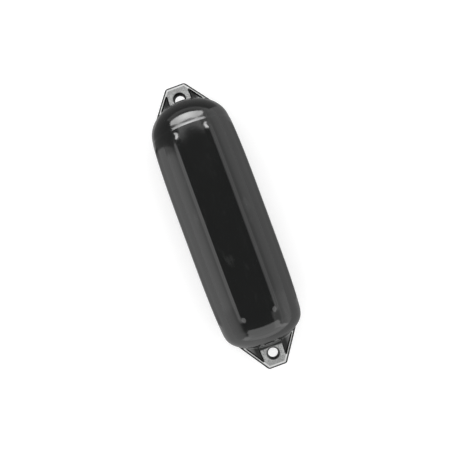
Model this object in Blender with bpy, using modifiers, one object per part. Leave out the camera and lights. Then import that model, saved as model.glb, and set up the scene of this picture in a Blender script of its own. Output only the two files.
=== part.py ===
"""A twin-eye pneumatic boat fender, lying on its side as it comes to rest.

It is one hollow vinyl moulding: a slightly barrelled tube with lengthwise ribs, a shallow
dome at each end, and a flat rope eye on each dome. An inflation valve of three pieces, a
bush, a screw plug and a sealing ring, sits in the underside of the first dome.

Each piece is modelled round the fender's own axis, which is its local Z, with the eyes in
the local XZ plane. One empty lays everything down: local Z becomes world Y, and the side
with local -Y faces up.
"""

import math

import bmesh
import bpy

# Driving dimensions of the moulding, in metres
BODY_DIAMETER = 0.160
BARREL_LENGTH = 0.372
BARREL_NARROWING = 0.0043
SEAM_STEP = 0.0007
SEAM_WIDTH = 0.0008
DOME_HEIGHT = 0.0555
BARREL_WALL = 0.0030
DOME_WALL = 0.0055

# Ribs along the barrel
RIB_COUNT = 8
RIB_LENGTH = 0.338
RIB_WIDTH = 0.014
RIB_HEIGHT = 0.003
RIB_END_TURN = math.radians(84.0)

# Rope eyes
EYE_HOLE_DIAMETER = 0.0185
EYE_MOUTH_ROUND = 0.0042
EYE_HOLE_INTO_CROWN = 0.00235
EYE_HOLE_TO_TIP = 0.01735
EYE_TIP_WIDTH = 0.036
EYE_TIP_CORNER = 0.005
EYE_SIDE_ANGLE = math.radians(34.2)
EYE_ROOT_DEPTH = 0.036
RIM_THICKNESS = 0.018
RIM_WIDTH = 0.0068
RIM_WIDTH_AT_POCKET = 0.0062
RIM_EDGE_ROUND = 0.0036
PAD_THICKNESS = 0.0140
PAD_TIP_WIDTH = 0.040
PAD_ROOT_WIDTH = 0.048
WEB_THICKNESS = 0.0070

# Inflation valve
VALVE_DOME_ANGLE = math.radians(45.0)
VALVE_SEAT_DEPTH = 0.0025
VALVE_BOSS_WALL = 0.0047
VALVE_BOSS_DEPTH = 0.014
BUSH_FLANGE_LIP = 0.0025
BUSH_WALL = 0.0022
BUSH_LENGTH = 0.016
PLUG_HEAD_DIAMETER = 0.0140
PLUG_HEAD_THICKNESS = 0.0024
PLUG_SHANK_DIAMETER = 0.0084
PLUG_SHANK_LENGTH = 0.010
PLUG_SLOT_WIDTH = 0.0016
PLUG_SLOT_DEPTH = 0.0012
SEAL_THICKNESS = 0.0016

# Clearance between pieces that touch on the real fender
GAP = 0.0003

# How finely round shapes are divided
BODY_SEGMENTS = 64
CAVITY_SEGMENTS = 48
VALVE_SEGMENTS = 24
EYE_HOLE_SEGMENTS = 24
MOUTH_STEPS = 3
DOME_STEPS = 8
BARREL_STEPS = 6
RIB_STEPS = 4
RIB_END_STEPS = 3
MERGE_DISTANCE = 0.00002

# Sizes that follow from the driving ones
BODY_RADIUS = BODY_DIAMETER / 2
SEAM_POSITION = BARREL_LENGTH / 2
DOME_RADIUS = BODY_RADIUS - BARREL_NARROWING - SEAM_STEP
POLE_POSITION = SEAM_POSITION + DOME_HEIGHT
EYE_HOLE_RADIUS = EYE_HOLE_DIAMETER / 2
EYE_POSITION = POLE_POSITION - EYE_HOLE_INTO_CROWN + EYE_HOLE_RADIUS
TIP_POSITION = EYE_POSITION + EYE_HOLE_RADIUS + EYE_HOLE_TO_TIP
ROOT_POSITION = POLE_POSITION - EYE_ROOT_DEPTH
COUNTERBORE_RADIUS = PLUG_HEAD_DIAMETER / 2 + GAP
BUSH_RADIUS = COUNTERBORE_RADIUS + BUSH_WALL
FLANGE_RADIUS = BUSH_RADIUS + BUSH_FLANGE_LIP
# The barrel lies on the middle of one facet of its turned outline.
AXIS_HEIGHT = BODY_RADIUS * math.cos(math.pi / BODY_SEGMENTS)


def clear_scene():
    for old in list(bpy.data.objects):
        bpy.data.objects.remove(old, do_unlink=True)


def new_collection(name):
    collection = bpy.data.collections.new(name)
    bpy.context.scene.collection.children.link(collection)
    return collection


def plain_material(name, colour, roughness):
    material = bpy.data.materials.new(name)
    material.use_nodes = True
    shader = material.node_tree.nodes["Principled BSDF"]
    shader.inputs["Base Color"].default_value = (*colour, 1.0)
    shader.inputs["Roughness"].default_value = roughness
    shader.inputs["Metallic"].default_value = 0.0
    return material


def add_object(name, mesh, collection, parent, material=None):
    obj = bpy.data.objects.new(name, mesh)
    collection.objects.link(obj)
    obj.parent = parent
    if material:
        mesh.materials.append(material)
    return obj


def as_helper(obj):
    """A cutter or an added shape that only a Boolean reads."""
    obj.hide_render = True
    obj.display_type = "WIRE"
    return obj


def mesh_from_bmesh(name, bm):
    mesh = bpy.data.meshes.new(name)
    bm.to_mesh(mesh)
    bm.free()
    return mesh


def turned(name, profile, segments, collection, parent, material=None):
    """A turned solid. Its profile of (radius, height) runs down the outer side, top to bottom.

    A profile that comes back to its first point makes a ring.
    """
    ring = profile[0] == profile[-1]
    bm = bmesh.new()
    points = [bm.verts.new((radius, 0.0, height)) for radius, height in profile[: -1 if ring else None]]
    for first, second in zip(points, points[1:] + points[:1] if ring else points[1:]):
        bm.edges.new((first, second))
    obj = add_object(name, mesh_from_bmesh(name, bm), collection, parent, material)
    screw = obj.modifiers.new("turn", "SCREW")
    screw.axis = "Z"
    screw.steps = segments
    screw.render_steps = segments
    screw.use_merge_vertices = True
    screw.merge_threshold = MERGE_DISTANCE
    return obj


def combine(obj, other, operation):
    boolean = obj.modifiers.new(operation.lower() + " " + other.name, "BOOLEAN")
    boolean.operation = operation
    boolean.solver = "EXACT"
    boolean.object = other


def mesh_of_curve(curve, collection, parent):
    """Turns a curve object into a mesh object of the same name, with its caps welded."""
    bpy.context.view_layer.update()
    graph = bpy.context.evaluated_depsgraph_get()
    mesh = bpy.data.meshes.new_from_object(curve.evaluated_get(graph))
    bm = bmesh.new()
    bm.from_mesh(mesh)
    bmesh.ops.remove_doubles(bm, verts=bm.verts, dist=MERGE_DISTANCE)
    bmesh.ops.recalc_face_normals(bm, faces=bm.faces)
    bm.to_mesh(mesh)
    bm.free()
    name, placed = curve.name, curve.matrix_world.copy()
    bpy.data.objects.remove(curve)
    obj = add_object(name, mesh, collection, parent)
    obj.matrix_world = placed
    return obj


def flat_outline(name, corners, half_thickness, edge_round, collection, parent, end):
    """A flat plate of this outline, in the plane of the eyes, with rounded edges."""
    curve = bpy.data.curves.new(name, "CURVE")
    curve.dimensions = "2D"
    curve.fill_mode = "BOTH"
    curve.extrude = half_thickness - edge_round
    curve.bevel_depth = edge_round
    curve.bevel_resolution = 2
    curve.offset = -edge_round
    spline = curve.splines.new("POLY")
    spline.points.add(len(corners) - 1)
    for point, (x, along) in zip(spline.points, corners):
        point.co = (x, along, 0.0, 1.0)
    spline.use_cyclic_u = True
    obj = add_object(name, curve, collection, parent)
    # The plate stands in the XZ plane, and for the second end it is turned over, end for end.
    obj.rotation_euler = (math.radians(90.0), 0.0 if end > 0 else math.radians(180.0), 0.0)
    return obj


def barrel_radius(position):
    """The barrel narrows slowly at first and faster towards its ends."""
    return BODY_RADIUS - BARREL_NARROWING * (abs(position) / SEAM_POSITION) ** 4


def dome_points(rim_radius, height, base, steps):
    """Quarter of an ellipse from the pole down to the rim."""
    points = []
    for step in range(steps + 1):
        angle = math.radians(90.0) * (1 - step / steps)
        points.append((rim_radius * math.cos(angle), base + height * math.sin(angle)))
    return points


def body_profile():
    top = dome_points(DOME_RADIUS, DOME_HEIGHT, SEAM_POSITION, DOME_STEPS)
    shares = [math.sin(math.radians(90.0) * n / BARREL_STEPS) for n in range(BARREL_STEPS, 0, -1)]
    shoulder = SEAM_POSITION - SEAM_WIDTH
    top += [(barrel_radius(share * shoulder), share * shoulder) for share in shares]
    middle = [(BODY_RADIUS, 0.0)]
    return top + middle + [(radius, -height) for radius, height in reversed(top)]


def cavity_profile():
    """The air chamber follows the outside, one wall thickness in, and thicker in the domes."""
    inner_dome = dome_points(DOME_RADIUS - BARREL_WALL, DOME_HEIGHT - DOME_WALL, SEAM_POSITION, DOME_STEPS)
    middle = [(BODY_RADIUS - BARREL_WALL, 0.0)]
    return inner_dome + middle + [(radius, -height) for radius, height in reversed(inner_dome)]


def make_body(collection, parent, material):
    body = turned("fender_hull", body_profile(), BODY_SEGMENTS, collection, parent, material)
    # Half a segment back from the underside, so that a facet and not a corner is lowest.
    body.rotation_euler = (0.0, 0.0, math.radians(90.0) - math.pi / BODY_SEGMENTS)
    return body


def make_ribs(collection, parent):
    """Beads let into the barrel, with round ends, that follow its narrowing."""
    bead_radius = (RIB_WIDTH**2 / 4 + RIB_HEIGHT**2) / (2 * RIB_HEIGHT)
    sunk = bead_radius - RIB_HEIGHT
    straight = RIB_LENGTH / 2 - RIB_WIDTH / 2
    stations = []
    for step in range(RIB_STEPS):
        stations.append((straight * math.sin(math.radians(90.0) * step / RIB_STEPS), 1.0))
    for step in range(RIB_END_STEPS + 1):
        angle = RIB_END_TURN * step / RIB_END_STEPS
        stations.append((straight + bead_radius * math.sin(angle), math.cos(angle)))
    stations = [(-position, share) for position, share in reversed(stations[1:])] + stations
    ribs = []
    for number in range(RIB_COUNT):
        curve = bpy.data.curves.new("rib", "CURVE")
        curve.dimensions = "3D"
        curve.bevel_depth = bead_radius
        curve.bevel_resolution = 4
        curve.use_fill_caps = True
        spline = curve.splines.new("POLY")
        spline.points.add(len(stations) - 1)
        for point, (position, share) in zip(spline.points, stations):
            point.co = (barrel_radius(min(abs(position), straight)) - sunk, 0.0, position, 1.0)
            point.radius = share
        rib = add_object(f"rib_{number + 1}", curve, collection, parent)
        rib.rotation_euler = (0.0, 0.0, math.tau * (number + 0.5) / RIB_COUNT)
        ribs.append(as_helper(mesh_of_curve(rib, collection, parent)))
    return ribs


def arc_corner(centre_x, centre_along, radius, start, sweep, steps=4):
    angles = [start + sweep * step / steps for step in range(steps + 1)]
    return [(centre_x + radius * math.cos(a), centre_along + radius * math.sin(a)) for a in angles]


def side_half_width(position):
    """Half the eye's width where its straight side passes this position along the fender."""
    return EYE_TIP_WIDTH / 2 + math.tan(EYE_SIDE_ANGLE) * (TIP_POSITION - position)


def eye_outline():
    """A tapering plate with a short flat tip and rounded corners, rooted in the dome."""
    turn = math.radians(90.0) - EYE_SIDE_ANGLE
    reach = EYE_TIP_CORNER * math.tan(turn / 2)
    right = arc_corner(
        EYE_TIP_WIDTH / 2 - reach, TIP_POSITION - EYE_TIP_CORNER, EYE_TIP_CORNER, math.radians(90.0), -turn
    )
    root_half = min(side_half_width(ROOT_POSITION), DOME_RADIUS - DOME_WALL / 2)
    right.append((root_half, ROOT_POSITION))
    return right + [(-x, along) for x, along in reversed(right)]


def pocket_outline(side):
    """The sunk triangle between the pad round the hole and the sloping rim."""
    rim_in_x = RIM_WIDTH_AT_POCKET / math.cos(EYE_SIDE_ANGLE)
    pad_lean = (PAD_ROOT_WIDTH - PAD_TIP_WIDTH) / 2 / (TIP_POSITION - ROOT_POSITION)
    slope = math.tan(EYE_SIDE_ANGLE)
    inner_rim_at_tip = EYE_TIP_WIDTH / 2 - rim_in_x
    below_tip = (PAD_TIP_WIDTH / 2 - inner_rim_at_tip) / (slope - pad_lean)
    floor = ROOT_POSITION - RIM_WIDTH
    apex = (PAD_TIP_WIDTH / 2 + pad_lean * below_tip, TIP_POSITION - below_tip)
    inner = (PAD_TIP_WIDTH / 2 + pad_lean * (TIP_POSITION - floor), floor)
    outer = (side_half_width(floor) - rim_in_x, floor)
    return [(side * x, along) for x, along in (apex, inner, outer)]


def pad_outline():
    """The area inside the rim, where the face drops from the rim to the pad."""
    rim_in_x = RIM_WIDTH / math.cos(EYE_SIDE_ANGLE)
    top = TIP_POSITION - RIM_WIDTH
    floor = ROOT_POSITION - RIM_WIDTH
    right = [(side_half_width(top) - rim_in_x, top), (side_half_width(floor) - rim_in_x, floor)]
    return right + [(-x, along) for x, along in reversed(right)]


def face_cutter(name, corners, kept_thickness, collection, parent, end):
    """Two slabs of this outline, one on each face, that leave kept_thickness between them."""
    cutters = []
    depth = RIM_THICKNESS
    for label, direction in (("front", -1), ("back", 1)):
        plate = flat_outline(f"{name}_{label}", corners, depth / 2, 0.0, collection, parent, end)
        plate = mesh_of_curve(plate, collection, parent)
        plate.location.y = direction * (kept_thickness + depth) / 2
        cutters.append(as_helper(plate))
    return cutters


def make_eye(label, end, collection, parent):
    """One rope eye's plate: a thick rim, a thinner pad round the hole, and thin sunk webs."""
    blank = flat_outline(
        f"eye_{label}", eye_outline(), RIM_THICKNESS / 2, RIM_EDGE_ROUND, collection, parent, end
    )
    eye = as_helper(mesh_of_curve(blank, collection, parent))
    cutters = face_cutter(f"pad_{label}", pad_outline(), PAD_THICKNESS, collection, parent, end)
    for side_name, side in (("left", -1), ("right", 1)):
        name = f"pocket_{label}_{side_name}"
        cutters += face_cutter(name, pocket_outline(side), WEB_THICKNESS, collection, parent, end)
    cutters.append(make_eye_mouths(label, end, collection, parent))
    for cutter in cutters:
        combine(eye, cutter, "DIFFERENCE")
    return eye


def lay_across(cutter, end, spin=0.0):
    """Turns a cutter so that it runs through the eye's two faces, at the rope hole."""
    cutter.rotation_euler = (math.radians(90.0), spin, 0.0)
    cutter.location = (0.0, 0.0, end * EYE_POSITION)
    return as_helper(cutter)


def make_eye_mouths(label, end, collection, parent):
    """Cuts the rounded mouths of the rope hole, one on each face, which narrow to the throat."""
    centre_radius = EYE_HOLE_RADIUS + EYE_MOUTH_ROUND
    centre_height = PAD_THICKNESS / 2 - EYE_MOUTH_ROUND
    turn = math.radians(90.0) / MOUTH_STEPS
    arc = []
    for step in range(1, MOUTH_STEPS):
        radius = centre_radius - EYE_MOUTH_ROUND * math.sin(step * turn)
        arc.append((radius, centre_height + EYE_MOUTH_ROUND * math.cos(step * turn)))
    # The end chords run on past the face and into the throat, so that neither cut leaves a step.
    slope = math.tan(turn / 2)
    rise = (RIM_THICKNESS - PAD_THICKNESS) / 4
    flare = (centre_radius + rise / slope, PAD_THICKNESS / 2 + rise)
    neck = (EYE_HOLE_RADIUS - slope * centre_height / 2, centre_height / 2)
    upper = [(0.0, RIM_THICKNESS), (flare[0], RIM_THICKNESS), flare] + arc + [neck]
    profile = upper + [(radius, -height) for radius, height in reversed(upper)]
    mouths = turned(f"eye_mouths_{label}", profile, EYE_HOLE_SEGMENTS, collection, parent)
    return lay_across(mouths, end)


def make_eye_throat(label, end, collection, parent):
    """Cuts the rope hole right through the plate and the crown of the dome beside it."""
    reach = BODY_RADIUS / 2
    profile = [(0.0, reach), (EYE_HOLE_RADIUS, reach), (EYE_HOLE_RADIUS, -reach), (0.0, -reach)]
    throat = turned(f"eye_throat_{label}", profile, EYE_HOLE_SEGMENTS, collection, parent)
    # Half a segment round from the mouths, so that their edges never lie along each other.
    return lay_across(throat, end, math.pi / EYE_HOLE_SEGMENTS)


def valve_place():
    """Where the valve sits on the dome's back, and how far its axis leans over from the fender's."""
    radius = DOME_RADIUS * math.cos(VALVE_DOME_ANGLE)
    along = SEAM_POSITION + DOME_HEIGHT * math.sin(VALVE_DOME_ANGLE)
    outward = math.cos(VALVE_DOME_ANGLE) / DOME_RADIUS
    forward = math.sin(VALVE_DOME_ANGLE) / DOME_HEIGHT
    return (0.0, radius, along), math.atan2(outward, forward)


def make_valve_frame(collection, parent):
    frame = add_object("valve_frame", None, collection, parent)
    place, lean = valve_place()
    frame.location = place
    frame.rotation_euler = (-lean, 0.0, 0.0)
    return frame


def make_valve_boss(collection, frame):
    """Extra thickness inside the dome that carries the bush."""
    radius = BUSH_RADIUS + GAP + VALVE_BOSS_WALL
    profile = [(0.0, -VALVE_SEAT_DEPTH), (radius, -VALVE_SEAT_DEPTH)]
    profile += [(radius, -VALVE_BOSS_DEPTH), (0.0, -VALVE_BOSS_DEPTH)]
    return as_helper(turned("valve_boss", profile, VALVE_SEGMENTS, collection, frame))


def make_valve_bore(collection, frame):
    """Cuts the flat seat for the bush's flange and the bore for its barrel."""
    seat = FLANGE_RADIUS + GAP
    bore = BUSH_RADIUS + GAP
    above, below = VALVE_BOSS_DEPTH, -2 * VALVE_BOSS_DEPTH
    profile = [(0.0, above), (seat, above), (seat, -VALVE_SEAT_DEPTH)]
    profile += [(bore, -VALVE_SEAT_DEPTH), (bore, below), (0.0, below)]
    return as_helper(turned("valve_bore", profile, VALVE_SEGMENTS, collection, frame))


def make_bush(collection, frame, material):
    """A flanged nylon bush, counterbored for the plug's head and its seal."""
    bore = PLUG_SHANK_DIAMETER / 2 + GAP
    flange_foot = -VALVE_SEAT_DEPTH + GAP
    counterbore_floor = seal_top() - SEAL_THICKNESS - GAP
    profile = [
        (COUNTERBORE_RADIUS, 0.0),
        (FLANGE_RADIUS, 0.0),
        (FLANGE_RADIUS, flange_foot),
        (BUSH_RADIUS, flange_foot),
        (BUSH_RADIUS, -BUSH_LENGTH),
        (bore, -BUSH_LENGTH),
        (bore, counterbore_floor),
        (COUNTERBORE_RADIUS, counterbore_floor),
        (COUNTERBORE_RADIUS, 0.0),
    ]
    return turned("valve_bush", profile, VALVE_SEGMENTS, collection, frame, material)


def seal_top():
    """The plug's head stands level with the bush's flange, and the seal lies under it."""
    return -PLUG_HEAD_THICKNESS - GAP


def make_seal(collection, frame, material):
    """A flat sealing ring with rounded corners, between the plug's shank and the counterbore."""
    inner = PLUG_SHANK_DIAMETER / 2 + GAP
    outer = COUNTERBORE_RADIUS - GAP
    top = seal_top()
    foot = top - SEAL_THICKNESS
    corner = SEAL_THICKNESS / 4
    profile = [
        (inner + corner, top),
        (outer - corner, top),
        (outer, top - corner),
        (outer, foot + corner),
        (outer - corner, foot),
        (inner + corner, foot),
        (inner, foot + corner),
        (inner, top - corner),
        (inner + corner, top),
    ]
    return turned("valve_seal", profile, VALVE_SEGMENTS, collection, frame, material)


def make_plug(collection, helpers, frame, material):
    """A slotted screw plug, its thread plain."""
    head = PLUG_HEAD_DIAMETER / 2
    shank = PLUG_SHANK_DIAMETER / 2
    foot = -PLUG_HEAD_THICKNESS
    corner = PLUG_HEAD_THICKNESS / 4
    profile = [
        (0.0, 0.0),
        (head - corner, 0.0),
        (head, -corner),
        (head, foot),
        (shank, foot),
        (shank, foot - PLUG_SHANK_LENGTH + corner),
        (shank - corner, foot - PLUG_SHANK_LENGTH),
        (0.0, foot - PLUG_SHANK_LENGTH),
    ]
    plug = turned("valve_plug", profile, VALVE_SEGMENTS, collection, frame, material)
    bm = bmesh.new()
    bmesh.ops.create_cube(bm, size=1.0)
    bmesh.ops.scale(bm, verts=bm.verts, vec=(2 * PLUG_HEAD_DIAMETER, PLUG_SLOT_WIDTH, 2 * PLUG_SLOT_DEPTH))
    slot = as_helper(add_object("plug_slot", mesh_from_bmesh("plug_slot", bm), helpers, frame))
    combine(plug, slot, "DIFFERENCE")
    return plug


def main():
    clear_scene()
    fender = new_collection("pneumatic_fender")
    helpers = new_collection("cutters")
    black_vinyl = plain_material("black_vinyl", (0.016, 0.017, 0.0165), 0.18)
    nylon = plain_material("black_nylon", (0.030, 0.031, 0.032), 0.45)
    rubber = plain_material("seal_rubber", (0.012, 0.012, 0.012), 0.70)

    axis = add_object("fender_axis", None, fender, None)
    axis.location = (0.0, 0.0, AXIS_HEIGHT)
    axis.rotation_euler = (math.radians(-90.0), 0.0, 0.0)
    valve = make_valve_frame(fender, axis)

    hull = make_body(fender, axis, black_vinyl)
    for rib in make_ribs(helpers, axis):
        combine(hull, rib, "UNION")
    for label, end in (("top", 1), ("bottom", -1)):
        combine(hull, make_eye(label, end, helpers, axis), "UNION")
        combine(hull, make_eye_throat(label, end, helpers, axis), "DIFFERENCE")
    chamber = as_helper(turned("air_chamber", cavity_profile(), CAVITY_SEGMENTS, helpers, axis))
    combine(hull, chamber, "DIFFERENCE")
    combine(hull, make_valve_boss(helpers, valve), "UNION")
    combine(hull, make_valve_bore(helpers, valve), "DIFFERENCE")

    make_bush(fender, valve, nylon)
    make_seal(fender, valve, rubber)
    make_plug(fender, helpers, valve, nylon)


main()
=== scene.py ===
# %% [markdown]
# # A twin-eye boat fender
# The object is an inflatable fender, the bumper that hangs between a boat and a quay. It is one
# hollow vinyl moulding: a long tube with eight ribs, a shallow dome at each end, and a flat eye
# on each dome that the line goes through. A small screw valve sits in the underside of one dome.
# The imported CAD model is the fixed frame. The moulding is modelled here again, finer, with the
# soft fillets that a mould leaves, and the three valve pieces keep their CAD shapes.

# %% Load the frame
import math

import bmesh
import bpy
from mathutils import Matrix, Vector


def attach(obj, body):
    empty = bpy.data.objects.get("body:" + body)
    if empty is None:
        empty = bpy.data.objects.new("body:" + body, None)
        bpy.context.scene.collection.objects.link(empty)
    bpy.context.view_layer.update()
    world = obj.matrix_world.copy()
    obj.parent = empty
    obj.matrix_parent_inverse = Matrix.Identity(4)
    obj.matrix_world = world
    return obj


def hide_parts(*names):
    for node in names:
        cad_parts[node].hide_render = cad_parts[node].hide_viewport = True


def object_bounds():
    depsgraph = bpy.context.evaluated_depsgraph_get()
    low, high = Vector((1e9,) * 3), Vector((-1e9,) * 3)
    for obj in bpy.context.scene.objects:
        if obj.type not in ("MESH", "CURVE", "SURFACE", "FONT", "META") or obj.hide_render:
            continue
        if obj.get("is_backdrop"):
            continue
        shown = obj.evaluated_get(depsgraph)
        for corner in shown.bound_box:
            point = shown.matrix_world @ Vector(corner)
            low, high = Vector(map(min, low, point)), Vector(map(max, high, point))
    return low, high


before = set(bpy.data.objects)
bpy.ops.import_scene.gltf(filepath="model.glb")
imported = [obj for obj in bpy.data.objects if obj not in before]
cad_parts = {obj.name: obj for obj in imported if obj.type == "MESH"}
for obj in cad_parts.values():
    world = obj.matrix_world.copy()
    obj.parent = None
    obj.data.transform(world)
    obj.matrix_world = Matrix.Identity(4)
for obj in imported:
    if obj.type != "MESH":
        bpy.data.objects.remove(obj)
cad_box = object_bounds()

print("CAD nodes:", sorted(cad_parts))

# %% [markdown]
# ## Small helpers
# An operator works on everything that is selected, so each step starts by clearing the
# selection. In edit mode, vertices, edges and faces are then picked by their place or their
# normal, which is what a hand does with a box select.

# %% Helpers for picking
PICK_MODES = {"verts": (True, False, False), "edges": (False, True, False), "faces": (False, False, True)}


def take(obj):
    """Makes obj the only selected and the active object."""
    bpy.ops.object.select_all(action="DESELECT")
    obj.select_set(True)
    bpy.context.view_layer.objects.active = obj
    return obj


def open_up(obj):
    take(obj)
    bpy.ops.object.mode_set(mode="EDIT")
    bpy.ops.mesh.select_all(action="DESELECT")


def close_up():
    bpy.ops.object.mode_set(mode="OBJECT")


def pick(kind, wanted):
    """In edit mode, selects the vertices, edges or faces that wanted() says yes to."""
    mesh = bpy.context.object.data
    bpy.context.tool_settings.mesh_select_mode = PICK_MODES[kind]
    bpy.ops.mesh.select_all(action="DESELECT")
    bm = bmesh.from_edit_mesh(mesh)
    chosen = [part for part in getattr(bm, kind) if wanted(part)]
    for part in chosen:
        part.select = True
    bm.select_flush_mode()
    bmesh.update_edit_mesh(mesh)
    return len(chosen)


def middle(edge):
    return (edge.verts[0].co + edge.verts[1].co) / 2


# %% Helpers for finishing an object
def settle(obj):
    """Puts the object's place into its mesh, so that the object sits at the origin."""
    take(obj)
    bpy.ops.object.transform_apply(location=True, rotation=True, scale=True)
    return obj


def finish_modifier(obj, modifier):
    take(obj)
    bpy.ops.object.modifier_apply(modifier=modifier.name)


# %% [markdown]
# ## The camera
# The photograph looks straight down on the fender from about a metre, with the fender turned
# 20 degrees in the picture. A lens shift centres it, as a view camera would. The camera is made
# first because every later look is judged through it.

# %% Camera
PICTURE = 455
METRES_PER_PIXEL = 1.852e-3
AXIS_HEIGHT = 0.0799036
CAMERA_RISE = 1.0
CAMERA_FOOT = -0.052
PICTURE_TURN = math.radians(20.25)
PICTURE_SHIFT = (-0.01916, 0.05526)
SENSOR_WIDTH = 36.0


def add_camera():
    data = bpy.data.cameras.new("camera")
    camera = bpy.data.objects.new("camera", data)
    bpy.context.scene.collection.objects.link(camera)
    up = Vector((math.sin(PICTURE_TURN), math.cos(PICTURE_TURN), 0.0))
    right = Vector((math.cos(PICTURE_TURN), -math.sin(PICTURE_TURN), 0.0))
    turn = Matrix((right, up, Vector((0.0, 0.0, 1.0)))).transposed()
    place = Vector((0.0, CAMERA_FOOT, AXIS_HEIGHT + CAMERA_RISE))
    camera.matrix_world = Matrix.Translation(place) @ turn.to_4x4()
    data.sensor_width = SENSOR_WIDTH
    data.lens = SENSOR_WIDTH * CAMERA_RISE / (PICTURE * METRES_PER_PIXEL)
    data.shift_x, data.shift_y = PICTURE_SHIFT
    bpy.context.scene.camera = camera
    return camera


camera = add_camera()
bpy.context.scene.view_settings.view_transform = "Standard"
print("lens", round(camera.data.lens, 2), "mm")

# %% [markdown]
# ## Sizes of the moulding
# All sizes are in metres, and "along" is measured from the middle of the fender. The barrel
# bulges slightly, because air pushes it out. Each dome starts with a soft shoulder and then
# follows an ellipse. The two ends aren't alike: the one with the valve is taller, and has a fine
# seam step where it meets the barrel. The CAD model is the same at both ends, and takes a height
# between the two.

# %% Sizes
BODY_RADIUS = 0.0799
BARREL_END = 0.186
BARREL_NARROWING = 0.0043
SEAM_LENGTH = 0.0020
SEAM_DROP = 0.00062
SEAM_DROP_HALF_WAY = 0.45 * SEAM_DROP
DOME_RADIUS = 0.07516
TOP_DOME = {"foot": BARREL_END, "height": 0.0580, "seam": True}
BOTTOM_DOME = {"foot": 0.1883, "height": 0.0425, "seam": False}
SHOULDER_SLOPE = 0.17
SHOULDER_REACH = 0.0064
CROWN_START = 0.214


def barrel_radius(along):
    return BODY_RADIUS - BARREL_NARROWING * (abs(along) / BARREL_END) ** 4


def dome_radius(along, form):
    deep = along - form["foot"]
    share = min(deep / form["height"], 1.0)
    shoulder = SHOULDER_SLOPE * deep * math.exp(-deep / SHOULDER_REACH)
    return max(DOME_RADIUS * math.sqrt(1.0 - share * share) - shoulder, 0.0)


print("barrel end radius", round(barrel_radius(BARREL_END) * 1000, 2), "mm")

# %% [markdown]
# ## The tube
# A tube like this could be spun from a profile. Pulling one ring out again and again, and
# scaling it each time, gives the same surface and keeps the rings where they are needed: close
# together where the ribs end and round the seam, and far apart where nothing happens.

# %% The tube's profile
RING_STEPS = 336
FAR_RINGS = 8
FAR_PITCH = 0.020
CLOSE_RINGS = 22
CLOSE_FROM = 0.1505
CLOSE_PITCH = 0.0013
LAST_RINGS = [0.1805, 0.1825, 0.1835, BARREL_END - SEAM_LENGTH]
SHOULDER_RINGS = 18


def barrel_stations():
    """Where the rings of half the barrel sit, from the middle out."""
    far = [FAR_PITCH * n for n in range(FAR_RINGS)]
    close = [CLOSE_FROM + CLOSE_PITCH * n for n in range(CLOSE_RINGS)]
    return far + close + LAST_RINGS


def half_profile(form):
    """(along, radius) from the middle of the barrel to the foot of the crown."""
    points = [(along, barrel_radius(along)) for along in barrel_stations()]
    foot = form["foot"]
    if form["seam"]:
        rim = points[-1][1]
        points.append((foot - SEAM_LENGTH * 0.5, rim - SEAM_DROP_HALF_WAY))
        points.append((foot, rim - SEAM_DROP))
    else:
        points.append((foot, barrel_radius(foot)))
    for n in range(1, SHOULDER_RINGS + 1):
        along = foot + (CROWN_START - foot) * n / SHOULDER_RINGS
        points.append((along, dome_radius(along, form)))
    return points


# %% Pull the tube out of one ring
def pull_ring(profile):
    """Extrudes the selected ring along the profile, and scales it to each radius."""
    for (start, radius), (stop, wider) in zip(profile, profile[1:]):
        bpy.ops.mesh.extrude_region_move(TRANSFORM_OT_translate={"value": (0.0, stop - start, 0.0)})
        share = wider / radius
        centre = (0.0, stop, AXIS_HEIGHT)
        bpy.ops.transform.resize(value=(share, 1.0, share), center_override=centre)


def model_tube():
    bottom = [(-along, radius) for along, radius in half_profile(BOTTOM_DOME)]
    profile = bottom[:0:-1] + half_profile(TOP_DOME)
    start, radius = profile[0]
    bpy.ops.object.select_all(action="DESELECT")
    bpy.ops.mesh.primitive_circle_add(
        vertices=RING_STEPS,
        radius=radius,
        location=(0, start, AXIS_HEIGHT),
        rotation=(math.pi / 2, 0, 0),
    )
    tube = settle(bpy.context.object)
    tube.name = "fender_shell"
    bpy.ops.object.mode_set(mode="EDIT")
    bpy.ops.mesh.select_all(action="SELECT")
    pull_ring(profile)
    close_up()
    return tube


shell = model_tube()
print("tube faces", len(shell.data.polygons))

# %% [markdown]
# ## The ribs
# Eight beads run along the barrel and stiffen it. They are part of the same skin, so they are
# raised out of the tube: the middle line of each rib is picked and lifted along its normals with
# proportional editing, whose smooth falloff makes the round top and the soft foot. Four lifts,
# each a little longer than the last, draw the ends out into short ramps. A Boolean with eight
# rods would leave a hard line at every foot.

# %% Ribs
RIB_COUNT = 8
RIB_TOP_ENDS = (0.1640, 0.1665, 0.1690, 0.1715)
RIB_BOTTOM_ENDS = (0.1585, 0.1605, 0.1625, 0.1645)
RIB_HEIGHT = 0.0029
RIB_REACH = 0.0086
ROW_TOLERANCE = 0.3 * math.tau / RING_STEPS


def rib_angle(point):
    """How far round the barrel a point is from the nearest rib's middle, in radians."""
    pitch = math.tau / RIB_COUNT
    angle = math.atan2(point.x, point.z - AXIS_HEIGHT)
    return (angle % pitch) - pitch / 2


def on_rib_line(vertex, top_end, bottom_end):
    """Whether a vertex is in the one row along a rib's middle, between its two ends."""
    in_row = abs(rib_angle(vertex.co)) <= ROW_TOLERANCE
    return in_row and -bottom_end <= vertex.co.y <= top_end


open_up(shell)
for top_end, bottom_end in zip(RIB_TOP_ENDS, RIB_BOTTOM_ENDS):
    picked = pick("verts", lambda vertex: on_rib_line(vertex, top_end, bottom_end))
    bpy.ops.transform.shrink_fatten(
        value=RIB_HEIGHT / len(RIB_TOP_ENDS),
        use_proportional_edit=True,
        proportional_edit_falloff="SMOOTH",
        proportional_size=RIB_REACH,
    )
close_up()
print("vertices on the rib lines", picked)

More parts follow.
